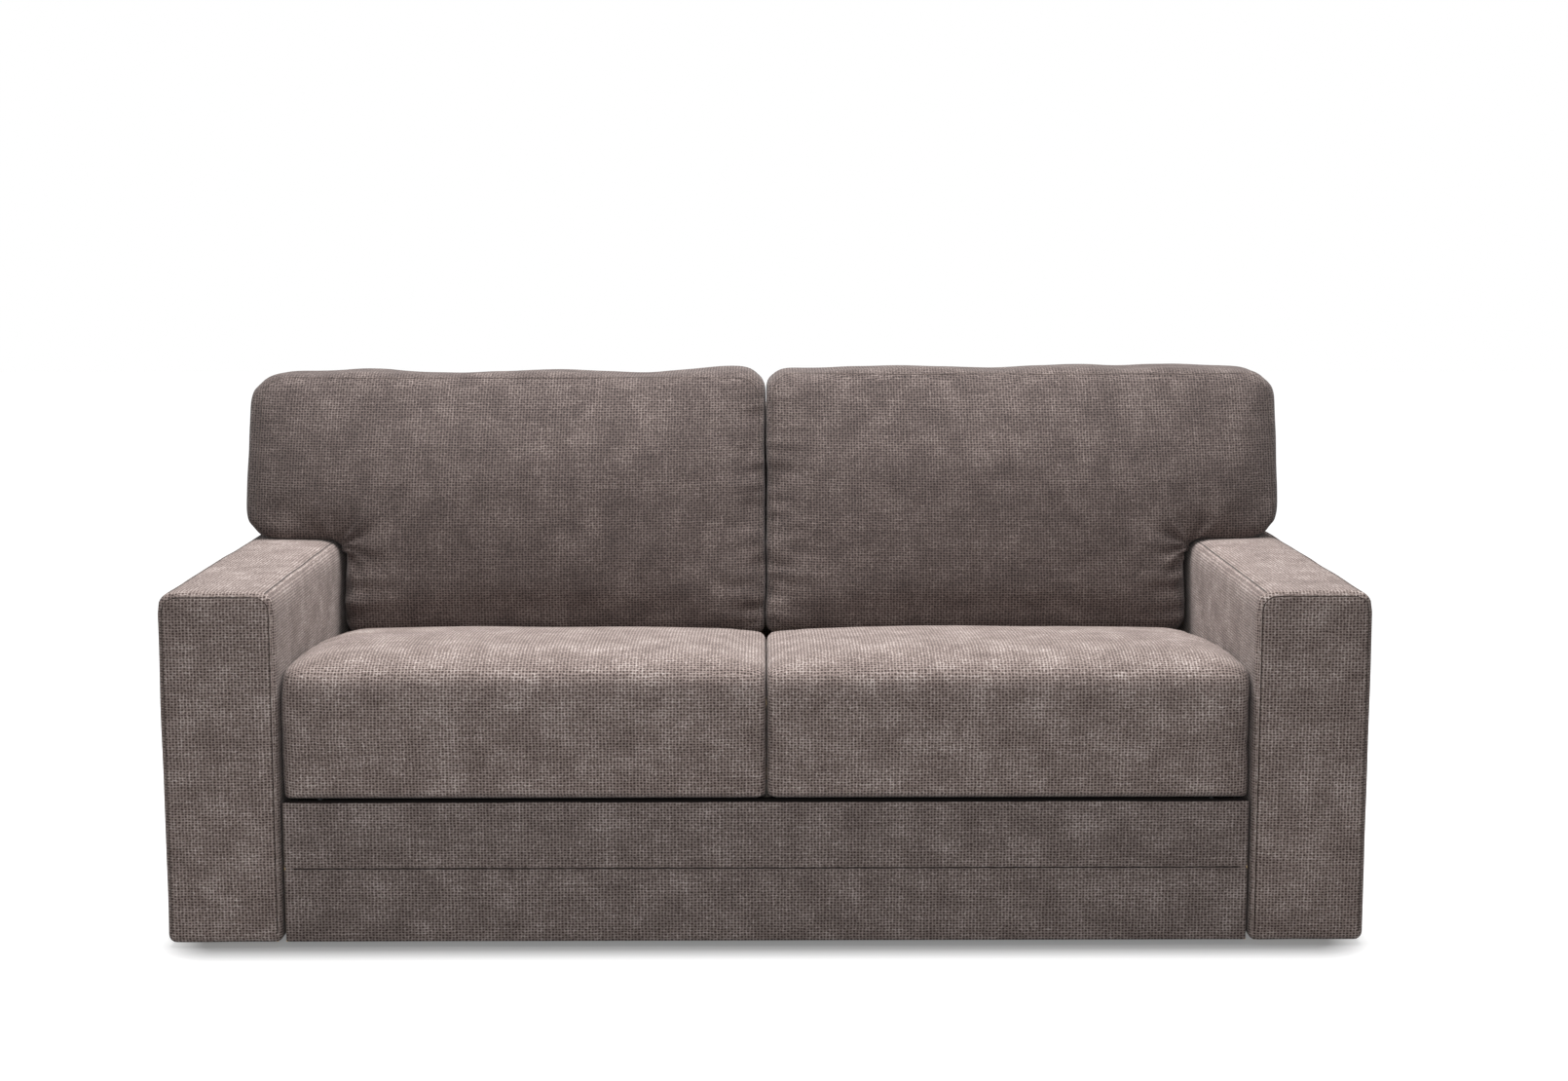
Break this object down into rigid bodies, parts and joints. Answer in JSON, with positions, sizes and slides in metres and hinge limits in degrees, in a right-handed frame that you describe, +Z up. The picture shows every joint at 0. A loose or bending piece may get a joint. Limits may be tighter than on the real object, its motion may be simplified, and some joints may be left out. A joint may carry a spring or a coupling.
{
  "type": "sleeper sofa with pull out bed",
  "caption": "Upholstered two-seat sofa with square arms and T-shaped back cushions; a bed folds out from under the seat on runners.",
  "frame": {"origin": "on the floor under the centre of the sofa, bed folded in", "axes": "+X to the sitter's left, which is right in a view of the front; +Y to the back; +Z up"},
  "size_m": [1.878, 0.95, 0.8677],
  "materials": {
    "fabric": "brown-grey chenille, coarse basket weave",
    "ticking": "off-white cotton ticking over foam",
    "birch_ply": "birch plywood, bare",
    "pine": "planed pine, bare",
    "black_steel": "black powder coat",
    "zinc_steel": "zinc plated",
    "glide_plastic": "moulded black plastic"
  },
  "bodies": {
    "sofa": {"arm_cover_left": "fabric", "arm_cover_right": "fabric", "arm_frame_left": "pine", "arm_frame_right": "pine", "front_glide_left": "glide_plastic", "front_glide_right": "glide_plastic", "rear_glide_left": "glide_plastic", "rear_glide_right": "glide_plastic", "back_cover": "fabric", "back_frame": "pine", "back_lower_board": "birch_ply", "front_cross_rail": "black_steel", "rear_cross_rail": "black_steel", "outer_runner_left": "zinc_steel", "outer_runner_right": "zinc_steel", "rear_runner_bracket_left": "black_steel", "rear_runner_bracket_right": "black_steel", "front_runner_bracket_left": "black_steel", "front_runner_bracket_right": "black_steel", "back_cushion_left": "fabric", "back_cushion_right": "fabric"},
    "middle_runner_left_slide": {"middle_runner_left": "zinc_steel"},
    "middle_runner_right_slide": {"middle_runner_right": "zinc_steel"},
    "bed_body": {"body_platform": "birch_ply", "body_mattress": "ticking", "body_side_plate_left": "black_steel", "body_side_plate_right": "black_steel", "inner_runner_left": "zinc_steel", "inner_runner_right": "zinc_steel", "runner_gusset_left": "birch_ply", "runner_gusset_right": "birch_ply", "fold_pin_left": "zinc_steel", "fold_pin_right": "zinc_steel", "head_pin_left": "zinc_steel", "head_pin_right": "zinc_steel"},
    "bed_knee": {"knee_platform": "birch_ply", "knee_mattress": "ticking", "knee_side_plate_left": "black_steel", "knee_side_plate_right": "black_steel", "foot_pin_left": "zinc_steel", "foot_pin_right": "zinc_steel", "front_panel_cover": "fabric", "front_panel_board": "birch_ply", "front_panel_batten": "pine"},
    "bed_foot": {"foot_platform": "birch_ply", "foot_mattress": "ticking", "foot_side_plate_left": "black_steel", "foot_side_plate_right": "black_steel", "leg_bracket_left": "zinc_steel", "leg_bracket_right": "zinc_steel", "seat_cushion_left": "fabric", "seat_cushion_right": "fabric"},
    "bed_head": {"head_platform": "birch_ply", "head_mattress": "ticking", "head_side_plate_left": "black_steel", "head_side_plate_right": "black_steel"},
    "folding_leg_left": {"leg_left": "black_steel", "leg_tip_left": "glide_plastic"},
    "folding_leg_right": {"leg_right": "black_steel", "leg_tip_right": "glide_plastic"}
  },
  "joints": [
    {"name": "bed_pull_out", "type": "slide", "parent": "sofa", "child": "bed_body", "axis": [0, -0.9627, 0.2707], "range_m": [0, 0.66483]},
    {"name": "middle_runner_left_follow", "type": "slide", "parent": "sofa", "child": "middle_runner_left_slide", "axis": [0, -0.9627, 0.2707], "range_m": [0, 0.3325]},
    {"name": "middle_runner_right_follow", "type": "slide", "parent": "sofa", "child": "middle_runner_right_slide", "axis": [0, -0.9627, 0.2707], "range_m": [0, 0.3325]},
    {"name": "knee_fold", "type": "hinge", "parent": "bed_body", "child": "bed_knee", "pos_m": [0, -0.445, 0.044], "axis": [1, 0, 0], "range_deg": [0, 90.05]},
    {"name": "foot_fold", "type": "hinge", "parent": "bed_knee", "child": "bed_foot", "pos_m": [0, -0.445, 0.2682], "axis": [1, 0, 0], "range_deg": [0, 90.05]},
    {"name": "head_fold", "type": "hinge", "parent": "bed_body", "child": "bed_head", "pos_m": [0, 0.425, 0.044], "axis": [1, 0, 0], "range_deg": [-90.05, 0]},
    {"name": "leg_right_fold", "type": "hinge", "parent": "bed_foot", "child": "folding_leg_right", "pos_m": [0.625, 0.107, 0.2948], "axis": [0, 1, 0], "range_deg": [0, 90.05]},
    {"name": "leg_left_fold", "type": "hinge", "parent": "bed_foot", "child": "folding_leg_left", "pos_m": [-0.625, 0.107, 0.2948], "axis": [0, 1, 0], "range_deg": [-90.05, 0]}
  ],
  "couplings": [
    {"joint": "middle_runner_left_follow", "follows": "bed_pull_out", "ratio": 0.5},
    {"joint": "middle_runner_right_follow", "follows": "bed_pull_out", "ratio": 0.5},
    {"joint": "knee_fold", "follows": "bed_pull_out", "rad_per_m": 2.3627},
    {"joint": "foot_fold", "follows": "bed_pull_out", "rad_per_m": 2.3627},
    {"joint": "head_fold", "follows": "bed_pull_out", "rad_per_m": -2.3627},
    {"joint": "leg_right_fold", "follows": "bed_pull_out", "rad_per_m": 2.3627},
    {"joint": "leg_left_fold", "follows": "bed_pull_out", "rad_per_m": -2.3627}
  ]
}
